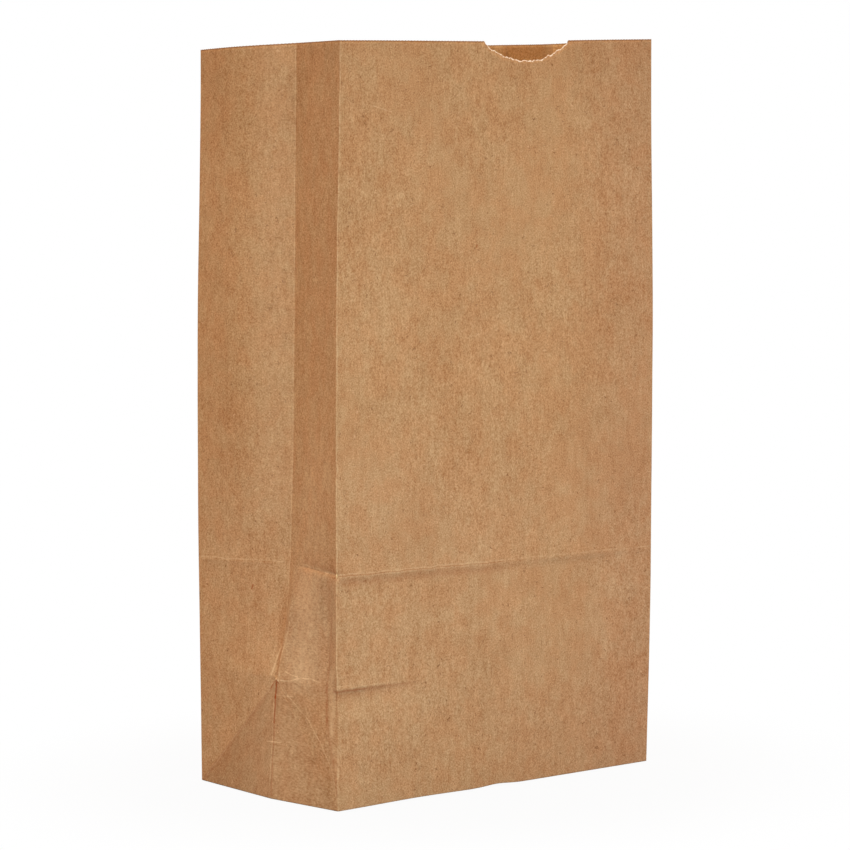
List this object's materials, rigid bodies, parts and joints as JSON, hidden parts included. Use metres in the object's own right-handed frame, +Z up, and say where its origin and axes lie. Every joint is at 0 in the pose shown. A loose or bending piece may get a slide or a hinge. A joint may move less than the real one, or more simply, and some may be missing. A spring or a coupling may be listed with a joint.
{
  "type": "paper lunch bag",
  "caption": "Open-topped kraft paper bag with a flat folded base, inward side gussets and a thumb notch in its front edge, for carrying a packed lunch.",
  "frame": {"origin": "centre of the bag's box, on the plane that its base stands on", "axes": "+Z up to the mouth; the notched front panel faces -Y; the gussets face -X and +X"},
  "size_m": [0.161, 0.0904, 0.281],
  "materials": {
    "kraft_paper": "matt brown kraft, fine machine-direction grain"
  },
  "bodies": {
    "root": {"paper_bag": "kraft_paper"}
  },
  "joints": []
}
